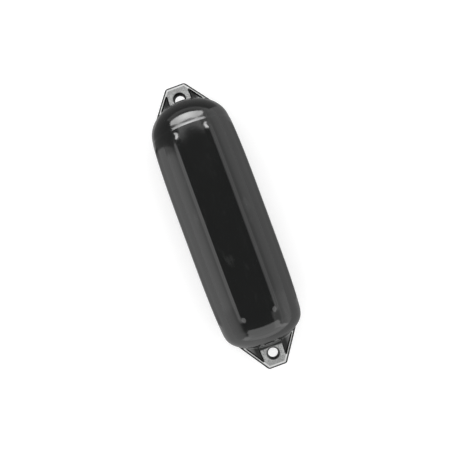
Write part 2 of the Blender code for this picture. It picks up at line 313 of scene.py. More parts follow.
# %% [markdown]
# ## The rope eyes
# Each eye is a flat plate with a thick rim, a pad round the hole and a sunk pocket on each side
# of the pad. The plate starts as a cube. Two slanted cuts give the taper, a bevel rounds the rim,
# an inset leaves the rim standing a hair above the rest, and two more cuts across each face part
# the pad from the pockets, which are then pushed in. A pocket's corner by the dome goes back up,
# so its floor is deepest beside the pad, water runs out, and the mould comes off easily. The
# sides of the two eyes lean a little differently.

# %% Sizes of an eye
TIP = 0.2749
TOP_LEAN = math.radians(37.0)
BOTTOM_LEAN = math.radians(33.8)
TOP_EYE = {"tip": 0.0184, "slope": math.tan(TOP_LEAN)}
BOTTOM_EYE = {"tip": 0.0176, "slope": math.tan(BOTTOM_LEAN)}
PLATE_ROOT = 0.200
RIM_HALF = 0.0089
RIM_ROUND = 0.0038
RIM_BAND = 0.0040
RIM_ROUND_STEPS = 6
STEP_WIDTH = 0.0012
PAD_DROP = 0.0003
POCKET_DROP = 0.0046
POCKET_WALL = 0.0010
POCKET_OFF_PAD = 0.0005
RAISED_ALONG = 0.215
RAISED_ACROSS = 0.045
PAD_HALF_AT_TIP = 0.0196
PAD_LEAN = 0.058
HOLE_AT = 0.2484
HOLE_RADIUS = 0.00925
HAIRS_BREADTH = 1e-5
BIG_FACE = 4e-4
LEVEL_NORMAL = 0.99


def side_half_width(along, eye):
    return eye["tip"] + eye["slope"] * (TIP - along)


def pad_half_width(along):
    return PAD_HALF_AT_TIP + PAD_LEAN * (TIP - along)


# %% Taper a cube into a plate
def taper_plate(eye):
    bpy.ops.object.select_all(action="DESELECT")
    wide = 2.0 * side_half_width(PLATE_ROOT, eye)
    long = TIP - PLATE_ROOT
    bpy.ops.mesh.primitive_cube_add(
        size=1.0,
        location=(0, PLATE_ROOT + long / 2, AXIS_HEIGHT),
        scale=(wide, long, 2 * RIM_HALF),
    )
    plate = settle(bpy.context.object)
    bpy.ops.object.mode_set(mode="EDIT")
    for side in (1, -1):
        bpy.ops.mesh.select_all(action="SELECT")
        bpy.ops.mesh.bisect(
            plane_co=(side * eye["tip"], TIP, AXIS_HEIGHT),
            plane_no=(side, eye["slope"], 0.0),
            use_fill=True,
            clear_outer=True,
        )
    return plate


# %% Which edges, faces and corners of the plate to take
def rim_edge(edge):
    """Whether the rim rounds an edge: each face's outline, and the tip's two upright corners."""
    if middle(edge).y < PLATE_ROOT + HAIRS_BREADTH:
        return False
    flat = all(abs(abs(v.co.z - AXIS_HEIGHT) - RIM_HALF) < HAIRS_BREADTH for v in edge.verts)
    same_height = abs(edge.verts[0].co.z - edge.verts[1].co.z) < HAIRS_BREADTH
    upright = abs(middle(edge).y - TIP) < HAIRS_BREADTH and not same_height
    return (flat and same_height) or upright


def is_big_face(face):
    return abs(face.normal.z) > LEVEL_NORMAL and face.calc_area() > BIG_FACE


def in_pocket(face):
    """Whether a face is a flat piece of the lowered face, beside the pad."""
    centre = face.calc_center_median()
    lowered = abs(abs(centre.z - AXIS_HEIGHT) - (RIM_HALF - PAD_DROP)) < HAIRS_BREADTH
    beside_pad = abs(centre.x) > pad_half_width(centre.y) + POCKET_OFF_PAD
    return abs(face.normal.z) > LEVEL_NORMAL and lowered and beside_pad


def outer_root(vertex, up):
    """Whether a vertex is the corner of a pocket's floor by the rim, inside the dome."""
    on_floor = abs(vertex.co.z - AXIS_HEIGHT - up * (RIM_HALF - POCKET_DROP)) < HAIRS_BREADTH
    return on_floor and vertex.co.y < RAISED_ALONG and abs(vertex.co.x) > RAISED_ACROSS


# %% Round the rim and sink the pockets
def model_plate(eye):
    plate = taper_plate(eye)
    pick("edges", rim_edge)
    bpy.ops.mesh.bevel(offset=RIM_ROUND, offset_type="OFFSET", segments=RIM_ROUND_STEPS, profile=0.5)
    pick("faces", is_big_face)
    bpy.ops.mesh.inset(thickness=RIM_BAND - RIM_ROUND, use_individual=True)
    bpy.ops.mesh.inset(thickness=STEP_WIDTH, depth=-PAD_DROP, use_individual=True)
    for side in (1, -1):
        pick("faces", is_big_face)
        pad_corner = (side * PAD_HALF_AT_TIP, TIP, AXIS_HEIGHT)
        bpy.ops.mesh.bisect(plane_co=pad_corner, plane_no=(side, PAD_LEAN, 0.0))
    pick("faces", in_pocket)
    bpy.ops.mesh.inset(thickness=POCKET_WALL, depth=PAD_DROP - POCKET_DROP, use_individual=True)
    for up in (1, -1):
        pick("verts", lambda vertex: outer_root(vertex, up))
        bpy.ops.transform.translate(value=(0, 0, up * (POCKET_DROP - PAD_DROP)))
    close_up()
    return plate


# %% [markdown]
# The rope goes through the hole and bends round its lips, so both mouths are flared. A round
# cutter, pulled up ring by ring, takes the hole and both flares out with one Boolean.


# %% Round solids and cuts
def turned(profile, steps, place=(0.0, 0.0, 0.0), tilt=(0.0, 0.0, 0.0)):
    """A closed round solid through (height, radius) points, pulled up ring by ring."""
    height, radius = profile[0]
    bpy.ops.object.select_all(action="DESELECT")
    bpy.ops.mesh.primitive_circle_add(
        vertices=steps,
        radius=radius,
        location=(0, 0, height),
        fill_type="NGON",
    )
    solid = settle(bpy.context.object)
    bpy.ops.object.mode_set(mode="EDIT")
    bpy.ops.mesh.select_all(action="SELECT")
    for (start, narrow), (stop, wide) in zip(profile, profile[1:]):
        bpy.ops.mesh.extrude_region_move(TRANSFORM_OT_translate={"value": (0.0, 0.0, stop - start)})
        share = wide / narrow
        bpy.ops.transform.resize(value=(share, share, 1.0), center_override=(0.0, 0.0, stop))
    close_up()
    solid.location = place
    solid.rotation_euler = tilt
    return settle(solid)


def cut_out(piece, cutter):
    modifier = piece.modifiers.new("cut", "BOOLEAN")
    modifier.operation = "DIFFERENCE"
    modifier.solver = "EXACT"
    modifier.object = cutter
    finish_modifier(piece, modifier)
    bpy.data.objects.remove(cutter)


# %% The two plates with their rope holes
MOUTH_ROUND = 0.0042
MOUTH_STEPS = 8
MOUTH_TURN = 0.97 * math.pi / 2
MOUTH_SIDES = 72
OVER_PAD = 0.0006
CUT_PAST_PAD = 0.008


def flared_profile():
    """(height, radius) of the hole from the lower mouth to the upper one."""
    pad = RIM_HALF - PAD_DROP
    foot = pad - MOUTH_ROUND
    upper = []
    for n in range(MOUTH_STEPS + 1):
        turn = MOUTH_TURN * n / MOUTH_STEPS
        flare = MOUTH_ROUND * (1 - math.cos(turn))
        upper.append((foot + MOUTH_ROUND * math.sin(turn), HOLE_RADIUS + flare))
    upper.append((pad + OVER_PAD, HOLE_RADIUS + MOUTH_ROUND))
    upper.append((pad + CUT_PAST_PAD, HOLE_RADIUS + MOUTH_ROUND))
    lower = [(-height, radius) for height, radius in reversed(upper)]
    return lower + upper


def model_eye(eye):
    plate = model_plate(eye)
    cut_out(plate, turned(flared_profile(), MOUTH_SIDES, place=(0, HOLE_AT, AXIS_HEIGHT)))
    return plate


top_plate = model_eye(TOP_EYE)
bottom_plate = model_eye(BOTTOM_EYE)
print("faces of the plates", len(top_plate.data.polygons), len(bottom_plate.data.polygons))

# %% [markdown]
# ## The crowns
# Where the eye grows out of the dome there is a soft fillet all round, which no bevel can follow
# over the rim, the pad and the pockets. So the dome and the plate are joined, a voxel remesh
# makes one skin of them, and smoothing only near the junction melts it into a small fillet. A
# Shrinkwrap then puts the open dome back on its clean curve, as reflections show every bump.

# %% The dome, and how far a point is from it and from the plate
DOME_ROOT = 0.199
DOME_STEPS = 72
DOME_SIDES = 240


def model_dome(form):
    foot, height = form["foot"], form["height"]
    first = math.asin((DOME_ROOT - foot) / height)
    turns = [first + (math.pi / 2 - first) * n / DOME_STEPS for n in range(DOME_STEPS)]
    rings = [foot + height * math.sin(turn) for turn in turns]
    profile = [(along, dome_radius(along, form)) for along in rings]
    return turned(profile, DOME_SIDES, place=(0, 0, AXIS_HEIGHT), tilt=(-math.pi / 2, 0, 0))


def off_dome(point, form):
    """How far a point is outside the dome's curve, in metres."""
    height = form["height"]
    deep = max(point.y - form["foot"], 1e-6)
    out = math.hypot(point.x, point.z - AXIS_HEIGHT)
    share = math.hypot(deep / height, out / DOME_RADIUS)
    slope = math.hypot(deep / height**2, out / DOME_RADIUS**2) / share
    return (share - 1.0) / slope


def off_plate(point, eye):
    """How far a point is from the plate's outside, beside it or above it."""
    wide = max(abs(point.x) - side_half_width(point.y, eye), 0.0)
    beside = wide * math.cos(math.atan(eye["slope"]))
    above = max(abs(point.z - AXIS_HEIGHT) - RIM_HALF, 0.0)
    return math.hypot(beside, above)


# %% [markdown]
# The valve sits in a round seat in the underside of one dome, out of the line's way. The seat and
# its bore are cut from the dome to the CAD's sizes, so that the CAD's bush, seal and plug fit.

# %% The valve's seat
VALVE_AT = Vector((0.0, 0.22524, 0.02687))
VALVE_AXIS = Vector((0.0, 0.804, -0.595)).normalized()
SEAT_RADIUS = 0.0123
SEAT_DEPTH = 0.0025
BORE_RADIUS = 0.0098
BORE_DEPTH = 0.0165
BORE_MARGIN = 0.0015
CUT_PAST_DOME = 0.012
CUTTER_SIDES = 96


def off_valve(point):
    """How far a point is from the valve's axis; far off when it is deeper than the bore."""
    across = point - VALVE_AT
    depth = across.dot(VALVE_AXIS)
    return (across - VALVE_AXIS * depth).length if depth > -BORE_DEPTH - BORE_MARGIN else 1.0


def valve_cutter():
    bore = [(-BORE_DEPTH, BORE_RADIUS), (-SEAT_DEPTH, BORE_RADIUS)]
    seat = [(-SEAT_DEPTH + HAIRS_BREADTH, SEAT_RADIUS), (CUT_PAST_DOME, SEAT_RADIUS)]
    tilt = VALVE_AXIS.to_track_quat("Z", "Y").to_euler()
    return turned(bore + seat, CUTTER_SIDES, place=VALVE_AT, tilt=tilt)


# %% One skin, with a fillet
VOXEL = 0.0010
FILLET_REACH = 0.0024
FILLET_PASSES = 4
ALL_OVER_PASSES = 2
UNDER_DOME = -0.004
MELT_FROM = 0.2175


def copy_of(piece):
    twin = piece.copy()
    twin.data = piece.data.copy()
    bpy.context.scene.collection.objects.link(twin)
    return twin


def remesh(piece):
    modifier = piece.modifiers.new("one skin", "REMESH")
    modifier.mode = "VOXEL"
    modifier.voxel_size = VOXEL
    finish_modifier(piece, modifier)


def melt_fillet(piece, form, eye):
    """Smooths the skin where the plate leaves the dome, and then all of it a little."""

    def at_junction(vertex):
        near_dome = UNDER_DOME < off_dome(vertex.co, form) < FILLET_REACH
        return near_dome and vertex.co.y > MELT_FROM and off_plate(vertex.co, eye) < FILLET_REACH

    open_up(piece)
    pick("verts", at_junction)
    bpy.ops.mesh.vertices_smooth(factor=0.5, repeat=FILLET_PASSES)
    bpy.ops.mesh.select_all(action="SELECT")
    bpy.ops.mesh.vertices_smooth(factor=0.5, repeat=ALL_OVER_PASSES)
    close_up()


# %% The open dome, back on its curve
ON_DOME = 0.0015
FILLET_FADE = 0.004
SEAT_EDGE = 0.0008
SEAT_FADE = 0.002


def lay_on_dome(piece, clean_dome, form, eye, with_valve):
    """Shrinkwraps the open dome, with a weight that fades out towards the plate and the valve."""
    group = piece.vertex_groups.new(name="open dome")
    for vertex in piece.data.vertices:
        if abs(off_dome(vertex.co, form)) > ON_DOME:
            continue
        weight = (off_plate(vertex.co, eye) - FILLET_REACH) / FILLET_FADE
        if vertex.co.y < MELT_FROM:
            weight = 1.0
        if with_valve:
            weight = min(weight, (off_valve(vertex.co) - SEAT_RADIUS - SEAT_EDGE) / SEAT_FADE)
        if weight > 0.0:
            group.add([vertex.index], min(weight, 1.0), "REPLACE")
    modifier = piece.modifiers.new("clean dome", "SHRINKWRAP")
    modifier.target = clean_dome
    modifier.vertex_group = group.name
    finish_modifier(piece, modifier)
    piece.vertex_groups.clear()
    bpy.data.objects.remove(clean_dome)


# %% The two crowns
ROPE_CUTTER = ((-0.03, HOLE_RADIUS), (0.03, HOLE_RADIUS))
BRIDGE_GAP = 0.0014
LOOP_MERGE = 0.0005


def model_crown(form, plate, eye, with_valve):
    dome = model_dome(form)
    clean_dome = copy_of(dome)
    cut_out(dome, turned(ROPE_CUTTER, CUTTER_SIDES, place=(0, HOLE_AT, AXIS_HEIGHT)))
    if with_valve:
        cut_out(dome, valve_cutter())
    take(dome)
    plate.select_set(True)
    bpy.ops.object.join()
    remesh(dome)
    melt_fillet(dome, form, eye)
    lay_on_dome(dome, clean_dome, form, eye, with_valve)

    def off_bore(face):
        return not with_valve or off_valve(face.calc_center_median()) > BORE_RADIUS + BORE_MARGIN

    open_up(dome)
    pick("faces", off_bore)
    cut_at = (0, CROWN_START + BRIDGE_GAP, 0)
    bpy.ops.mesh.bisect(plane_co=cut_at, plane_no=(0, 1, 0), clear_inner=True)
    pick("verts", lambda vertex: vertex.is_boundary)
    bpy.ops.mesh.remove_doubles(threshold=LOOP_MERGE)
    close_up()
    return dome


top_crown = model_crown(TOP_DOME, top_plate, TOP_EYE, True)
bottom_crown = model_crown(BOTTOM_DOME, bottom_plate, BOTTOM_EYE, False)
bottom_crown.scale = (1.0, -1.0, 1.0)
settle(bottom_crown)
print("crown faces", len(top_crown.data.polygons), len(bottom_crown.data.polygons))

# %% [markdown]
# ## One skin
# Tube and crowns end a little over a millimetre apart on the same curve. Joined into one mesh,
# their open loops are bridged, and the normals are recalculated, because a mirrored crown is
# inside out.

# %% Bridge the crowns to the tube
take(shell)
top_crown.select_set(True)
bottom_crown.select_set(True)
bpy.ops.object.join()
for side in (1, -1):
    open_up(shell)
    pick("edges", lambda edge: len(edge.link_faces) == 1 and side * middle(edge).y > 0)
    bpy.ops.mesh.bridge_edge_loops()
    close_up()
open_up(shell)
bpy.ops.mesh.select_all(action="SELECT")
bpy.ops.mesh.normals_make_consistent(inside=False)
close_up()
take(shell)
bpy.ops.object.shade_smooth()
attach(shell, "root")
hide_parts("fender_hull")
print("shell faces", len(shell.data.polygons))

# %% [markdown]
# ## Finishes
# Moulded vinyl is black and glossy, with a faint orange peel from the mould. The flat faces of the
# eyes are rougher, a satin finish, and their grey is painted sheen, with a painted highlight and
# painted shade on it. All patterns are procedural and read Object coordinates, in metres.


# %% Helpers for shader nodes
def new_finish(name, roughness=0.5):
    """A material, its node tree and its shader."""
    material = bpy.data.materials.new(name)
    material.use_nodes = True
    shader = material.node_tree.nodes["Principled BSDF"]
    shader.inputs["Roughness"].default_value = roughness
    return material, material.node_tree, shader


def dress(piece, material):
    piece.data.materials.clear()
    piece.data.materials.append(material)


def node(tree, kind, **settings):
    made = tree.nodes.new(kind)
    for name, value in settings.items():
        setattr(made, name, value)
    return made


def object_place(tree):
    return node(tree, "ShaderNodeTexCoord").outputs["Object"]


def parts_of(tree, vector):
    """The X, Y and Z of a vector socket."""
    made = node(tree, "ShaderNodeSeparateXYZ")
    tree.links.new(vector, made.inputs["Vector"])
    return [made.outputs[name] for name in "XYZ"]


def flat_length(tree, across, along):
    """The length of the level vector that has these two parts."""
    flat = node(tree, "ShaderNodeCombineXYZ")
    tree.links.new(across, flat.inputs["X"])
    tree.links.new(along, flat.inputs["Y"])
    length = node(tree, "ShaderNodeVectorMath", operation="LENGTH")
    tree.links.new(flat.outputs["Vector"], length.inputs[0])
    return length.outputs["Value"]


# %% Helpers for numbers in a shader
def calc(tree, operation, first, second=None):
    """One step of arithmetic; each input is a socket or a number."""
    made = node(tree, "ShaderNodeMath", operation=operation)
    for slot, value in enumerate((first, second)):
        if value is None:
            continue
        if isinstance(value, (int, float)):
            made.inputs[slot].default_value = value
        else:
            tree.links.new(value, made.inputs[slot])
    return made.outputs["Value"]


def both(tree, first, second):
    """A mask where two masks overlap."""
    return calc(tree, "MULTIPLY", first, second)


def span(tree, value, low, high, to_low=0.0, to_high=1.0):
    """Maps a value from low..high to to_low..to_high, clamped."""
    made = node(tree, "ShaderNodeMapRange")
    ends = {"From Min": low, "From Max": high, "To Min": to_low, "To Max": to_high}
    for name, number in ends.items():
        made.inputs[name].default_value = number
    tree.links.new(value, made.inputs["Value"])
    return made.outputs["Result"]


def rise(tree, value, band):
    """A mask that goes from 0 below the band to 1 above it."""
    return span(tree, value, *band)


def fall(tree, value, band):
    """A mask that goes from 1 below the band to 0 above it."""
    return span(tree, value, *band, 1.0, 0.0)


# %% Helpers for patterns, colours and bumps
def noise(tree, scale, detail=3.0, stretch=(1.0, 1.0, 1.0)):
    """A noise pattern on Object coordinates, with scale grains to a metre; its value is 0 to 1."""
    mapping = node(tree, "ShaderNodeMapping")
    mapping.inputs["Scale"].default_value = stretch
    pattern = node(tree, "ShaderNodeTexNoise")
    pattern.inputs["Scale"].default_value = scale
    pattern.inputs["Detail"].default_value = detail
    tree.links.new(object_place(tree), mapping.inputs["Vector"])
    tree.links.new(mapping.outputs["Vector"], pattern.inputs["Vector"])
    return pattern.outputs["Fac"]


def blend(tree, share, first, second):
    """Mixes two colours by share; a colour is a socket or three numbers."""
    made = node(tree, "ShaderNodeMix", data_type="RGBA")
    tree.links.new(share, made.inputs["Factor"])
    for name, value in (("A", first), ("B", second)):
        slot = next(item for item in made.inputs if item.name == name and item.type == "RGBA")
        if isinstance(value, tuple):
            slot.default_value = (*value, 1.0)
        else:
            tree.links.new(value, slot)
    return next(item for item in made.outputs if item.type == "RGBA")


def relief(tree, shader, height, distance):
    """Bumps the shader by a height pattern; distance is the real height in metres."""
    made = node(tree, "ShaderNodeBump")
    made.inputs["Strength"].default_value = 1.0
    made.inputs["Distance"].default_value = distance
    tree.links.new(height, made.inputs["Height"])
    tree.links.new(made.outputs["Normal"], shader.inputs["Normal"])


# %% [markdown]
# The eyes have colours of their own, mostly painted light: a painted highlight along the rim's crest,
# painted sheen on the rougher satin pads, painted shade towards the tips, black pockets with a painted
# reflection towards their outer corners, and a dull black edge outside the crest. Painting them by
# hand would need a picture. Masks do it with numbers: how level a point faces, how far it is inside
# the eye's outline, from the hole, and from the plate's middle.

# %% Where the parts of an eye are
LEVEL_FACE = (0.88, 0.955)
RIM_LIMIT = (RIM_HALF + 0.0002, RIM_HALF + 0.0005)
EDGE_BAND = (0.0030, 0.0036)
EDGE_START = (0.205, 0.215)
# Where the painted highlight along the rim's crest lies.
CREST_BAND = (0.0057, 0.0065)
PAD_SIDE = (0.0212, 0.0222)
PAD_FOOT = (0.2358, 0.2378)
PAD_LEVEL = (0.0068, 0.0079)
HOLE_LIP = (HOLE_RADIUS + 0.0026, HOLE_RADIUS + 0.0040)
# Where the painted reflection in the pockets starts.
REFLECTION_CORNER_BAND = (0.029, 0.040)
# Where the painted shade towards the tips starts.
TIP_SHADE_BAND = (0.2555, 0.2650)
MIDDLE_BAND = (-0.01, 0.01)
MEAN_LEAN = (TOP_LEAN + BOTTOM_LEAN) / 2


def edge_distance(tree, lengthways, across, along):
    """How far inside its eye's outline a point is; each end of the fender has its own outline."""
    slope = span(tree, lengthways, *MIDDLE_BAND, BOTTOM_EYE["slope"], TOP_EYE["slope"])
    tip = span(tree, lengthways, *MIDDLE_BAND, BOTTOM_EYE["tip"], TOP_EYE["tip"])
    from_tip = calc(tree, "SUBTRACT", TIP, along)
    half_width = calc(tree, "ADD", tip, calc(tree, "MULTIPLY", slope, from_tip))
    beside = calc(tree, "SUBTRACT", half_width, across)
    return calc(tree, "MINIMUM", from_tip, calc(tree, "MULTIPLY", beside, math.cos(MEAN_LEAN)))


def eye_masks(tree):
    """Masks for the parts of an eye, each 0 or 1 with a short fade between."""
    sideways, lengthways, upwards = parts_of(tree, object_place(tree))
    normal = parts_of(tree, node(tree, "ShaderNodeNewGeometry").outputs["Normal"])
    across = calc(tree, "ABSOLUTE", sideways)
    along = calc(tree, "ABSOLUTE", lengthways)
    height = calc(tree, "ABSOLUTE", calc(tree, "SUBTRACT", upwards, AXIS_HEIGHT))
    inside = edge_distance(tree, lengthways, across, along)
    from_hole = flat_length(tree, sideways, calc(tree, "SUBTRACT", along, HOLE_AT))
    in_plate = fall(tree, height, RIM_LIMIT)
    face = both(tree, rise(tree, calc(tree, "ABSOLUTE", normal[2]), LEVEL_FACE), in_plate)
    off_edge = rise(tree, inside, EDGE_BAND)
    past_foot = calc(tree, "MAXIMUM", rise(tree, across, PAD_SIDE), rise(tree, along, PAD_FOOT))
    open_pad = both(tree, past_foot, rise(tree, from_hole, HOLE_LIP))
    raised = both(tree, rise(tree, height, PAD_LEVEL), open_pad)
    outer = both(tree, in_plate, fall(tree, inside, EDGE_BAND))
    return {
        "face": face,
        # A rougher satin finish, and painted sheen in the colour.
        "satin": both(tree, both(tree, face, off_edge), raised),
        # A painted highlight along the rim's crest.
        "crest_highlight": fall(tree, inside, CREST_BAND),
        # A painted reflection towards the pockets' outer corners.
        "corner": both(tree, rise(tree, across, REFLECTION_CORNER_BAND), off_edge),
        # Painted shade towards the tip.
        "tip": rise(tree, along, TIP_SHADE_BAND),
        "edge": both(tree, outer, rise(tree, along, EDGE_START)),
    }


# %% Vinyl
VINYL_BLACK = (0.0055, 0.006, 0.0058)
VINYL_SCUFF = (0.020, 0.021, 0.0205)
# A painted highlight along the rim's crest.
CREST_HIGHLIGHT_GREY = (0.60, 0.605, 0.60)
# Painted sheen on the pads, mottled between a paler and a darker grey.
PAD_SHEEN_GREY = (0.41, 0.415, 0.41)
PAD_SHEEN_DARK = (0.17, 0.172, 0.17)
# Painted shade towards the tips of the pads.
TIP_SHADE_GREY = (0.20, 0.202, 0.20)
SINK_DARK = (0.030, 0.031, 0.030)
# A painted reflection in the pockets' outer corners.
POCKET_REFLECTION_GREY = (0.24, 0.242, 0.24)
GLOSS_ROUGHNESS = 0.11
GLOSS_SPREAD = (GLOSS_ROUGHNESS - 0.02, GLOSS_ROUGHNESS + 0.03)
SATIN_ROUGHNESS = 0.46
EDGE_ROUGHNESS = 0.50
PLAIN_SPECULAR = 0.5
EDGE_SPECULAR = 0.12
VINYL_IOR = 1.48
SCUFF_BAND = (0.62, 0.78)
# The noise band that mottles the painted sheen.
SHEEN_MOTTLE_BAND = (0.36, 0.58)
CLOUD_BAND = (0.35, 0.65)
# How far the painted shade darkens the pads at the tips.
TIP_SHADE_SHARE = 0.6
PEEL_HEIGHT = 0.00002


def vinyl_colour(tree, masks):
    scuffs = rise(tree, noise(tree, 60.0, 6.0, (1.0, 0.35, 1.0)), SCUFF_BAND)
    black = blend(tree, scuffs, VINYL_BLACK, VINYL_SCUFF)
    # Level faces of the plate turn dark grey, with a painted reflection towards the pockets' outer
    # corners.
    black = blend(tree, masks["face"], black, blend(tree, masks["corner"], SINK_DARK, POCKET_REFLECTION_GREY))
    # The pads get painted sheen, mottled by noise.
    pad = blend(tree, rise(tree, noise(tree, 420.0, 5.0), SHEEN_MOTTLE_BAND), PAD_SHEEN_DARK, PAD_SHEEN_GREY)
    # Painted shade darkens the pads towards the tips.
    pad = blend(tree, calc(tree, "MULTIPLY", masks["tip"], TIP_SHADE_SHARE), pad, TIP_SHADE_GREY)
    # A painted highlight runs along the rim's crest.
    grey = blend(tree, masks["crest_highlight"], pad, CREST_HIGHLIGHT_GREY)
    return blend(tree, masks["satin"], black, grey)


def vinyl_roughness(tree, masks):
    rough = span(tree, noise(tree, 35.0, 4.0), *CLOUD_BAND, *GLOSS_SPREAD)
    for part, roughness in (("satin", SATIN_ROUGHNESS), ("edge", EDGE_ROUGHNESS)):
        more = calc(tree, "MULTIPLY", masks[part], roughness - GLOSS_ROUGHNESS)
        rough = calc(tree, "ADD", rough, more)
    return rough


def vinyl():
    material, tree, shader = new_finish("moulded_vinyl")
    masks = eye_masks(tree)
    tree.links.new(vinyl_colour(tree, masks), shader.inputs["Base Color"])
    tree.links.new(vinyl_roughness(tree, masks), shader.inputs["Roughness"])
    dull = span(tree, masks["edge"], 0.0, 1.0, PLAIN_SPECULAR, EDGE_SPECULAR)
    tree.links.new(dull, shader.inputs["Specular IOR Level"])
    relief(tree, shader, noise(tree, 700.0, 2.0), PEEL_HEIGHT)
    shader.inputs["IOR"].default_value = VINYL_IOR
    return material


vinyl_finish = vinyl()
dress(shell, vinyl_finish)
print("nodes in the vinyl", len(vinyl_finish.node_tree.nodes))

# %% [markdown]
# The valve's bush and plug are nylon, a dark plastic with a satin skin and a very fine grain, and
# its seal is matte rubber. Both are plain to the eye, so a noise that varies colour and roughness
# a little is enough to keep them from looking painted.

# %% Valve finishes
NYLON_DARK = (0.024, 0.025, 0.026)
NYLON_PALE = (0.040, 0.041, 0.042)
NYLON_GRAIN = 0.00001
NYLON_CLOUDS = (0.3, 0.7)
NYLON_ROUGHNESS = (0.32, 0.46)
SEAL_DARK = (0.009, 0.009, 0.009)
SEAL_PALE = (0.016, 0.016, 0.016)
SEAL_ROUGHNESS = 0.75
SEAL_GRAIN = 0.00002


def nylon():
    material, tree, shader = new_finish("valve_nylon")
    shade = blend(tree, noise(tree, 300.0, 4.0), NYLON_DARK, NYLON_PALE)
    tree.links.new(shade, shader.inputs["Base Color"])
    rough = span(tree, noise(tree, 180.0), *NYLON_CLOUDS, *NYLON_ROUGHNESS)
    tree.links.new(rough, shader.inputs["Roughness"])
    relief(tree, shader, noise(tree, 2500.0, 2.0), NYLON_GRAIN)
    return material


def seal_rubber():
    material, tree, shader = new_finish("seal_rubber", SEAL_ROUGHNESS)
    shade = blend(tree, noise(tree, 900.0), SEAL_DARK, SEAL_PALE)
    tree.links.new(shade, shader.inputs["Base Color"])
    relief(tree, shader, noise(tree, 3000.0, 2.0), SEAL_GRAIN)
    return material


nylon_finish = nylon()
dress(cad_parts["valve_bush"], nylon_finish)
dress(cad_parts["valve_plug"], nylon_finish)
dress(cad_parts["valve_seal"], seal_rubber())
print("finishes", [material.name for material in bpy.data.materials])

# %% [markdown]
# ## The floor
# The photograph has a pure white ground. The floor is pale, and adds a little light of its own on
# camera, glossy and transmission rays, so that it shows white and still keeps a soft shadow.

# %% Floor
WHITE = (1.0, 1.0, 1.0, 1.0)
FLOOR_SIZE = 14
FLOOR_DROP = 0.0005
FLOOR_SHADE = 0.62
FLOOR_GLOW = 0.52
FLOOR_ROUGHNESS = 0.9


def model_floor():
    bpy.ops.object.select_all(action="DESELECT")
    bpy.ops.mesh.primitive_plane_add(size=FLOOR_SIZE, location=(0, 0, -FLOOR_DROP))
    floor = settle(bpy.context.object)
    floor.name = "floor"
    material, tree, shader = new_finish("pale_floor", FLOOR_ROUGHNESS)
    shader.inputs["Base Color"].default_value = (FLOOR_SHADE, FLOOR_SHADE, FLOOR_SHADE, 1.0)
    shader.inputs["Specular IOR Level"].default_value = 0.0
    shader.inputs["Emission Color"].default_value = WHITE
    path = node(tree, "ShaderNodeLightPath")
    seen = calc(tree, "MAXIMUM", path.outputs["Is Camera Ray"], path.outputs["Is Glossy Ray"])
    seen = calc(tree, "MAXIMUM", seen, path.outputs["Is Transmission Ray"])
    tree.links.new(calc(tree, "MULTIPLY", seen, FLOOR_GLOW), shader.inputs["Emission Strength"])
    dress(floor, material)
    floor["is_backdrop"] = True


model_floor()

# %% [markdown]
# ## The studio
# A glossy black thing is lit by what it mirrors. So the studio is built from lamps and cards whose
# places are read from the reflections in the photograph: one bright box past the top end, which
# makes the crescent on the top dome, a stack of panels past the lower end, long dim panels on both
# sides, and darkness overhead for the black band along the middle. They are seen by gloss only,
# and one large soft lamp gives the plain light that falls on everything.

# %% Panels
PANEL_DISTANCE = 2.0
SIDE_PANEL_HEIGHT = 0.85
AIM_HEIGHT = 0.1


def panel(name, centre, aim, width, height, radiance, gloss_only=True):
    """A flat lamp of this radiance; an area lamp's power is radiance times pi times its area."""
    data = bpy.data.lights.new(name, "AREA")
    data.shape = "RECTANGLE"
    data.size, data.size_y = width, height
    data.energy = radiance * math.pi * width * height
    lamp = bpy.data.objects.new(name, data)
    bpy.context.scene.collection.objects.link(lamp)
    lamp.location = centre
    lamp.rotation_mode = "QUATERNION"
    lamp.rotation_quaternion = (Vector(aim) - Vector(centre)).to_track_quat("-Z", "Y")
    lamp.visible_camera = False
    lamp.visible_diffuse = not gloss_only
    lamp.visible_glossy = gloss_only


def strip(name, start, angles, width, radiance, side):
    """A panel that fills a range of angles from overhead, seen from a point on the fender."""
    low, high = (math.radians(angle) for angle in angles)
    half = (high - low) / 2
    turn = low + half
    place = Vector(start) + PANEL_DISTANCE * Vector((0.0, side * math.sin(turn), math.cos(turn)))
    panel(name, place, start, width, 2.0 * PANEL_DISTANCE * math.tan(half), radiance)


# %% Place the panels
TOP_SHOULDER = (0.0, 0.195, 0.150)
LOW_SHOULDER = (0.0, -0.195, 0.150)
LOW_PANELS = (
    ("foot_high", (27, 60), 3.8, 2.25),
    ("foot_mid", (60, 80), 4.8, 1.6),
    ("foot_low", (80, 93), 4.8, 1.25),
)
SIDE_PANELS = (
    ("left", (-1.3, 0.085, 0.43), 0.87, 0.9),
    ("left_back", (-1.3, -1.17, 0.43), 1.65, 0.5),
    ("right", (1.3, 0.63, 0.43), 1.95, 0.36),
    ("right_back", (1.3, -1.07, 0.43), 1.45, 0.7),
    ("right_high", (1.3, -0.2, 1.3), 3.6, 0.72),
)
PLAIN_LAMP_HEIGHT = 3.2
PLAIN_LAMP_SIZE = 4.0
PLAIN_LIGHT = 1.9

strip("halo", TOP_SHOULDER, (22.5, 30.5), 2.4, 1.75, 1.0)
for name, angles, width, radiance in LOW_PANELS:
    strip(name, LOW_SHOULDER, angles, width, radiance, -1.0)
for name, place, width, radiance in SIDE_PANELS:
    panel(name, place, (0, place[1], AIM_HEIGHT), width, SIDE_PANEL_HEIGHT, radiance)
overhead = (0.0, 0.0, PLAIN_LAMP_HEIGHT)
under_lamp = (0.0, 0.0, AXIS_HEIGHT)
panel("plain", overhead, under_lamp, PLAIN_LAMP_SIZE, PLAIN_LAMP_SIZE, PLAIN_LIGHT, gloss_only=False)
print("lamps", len(bpy.data.lights))

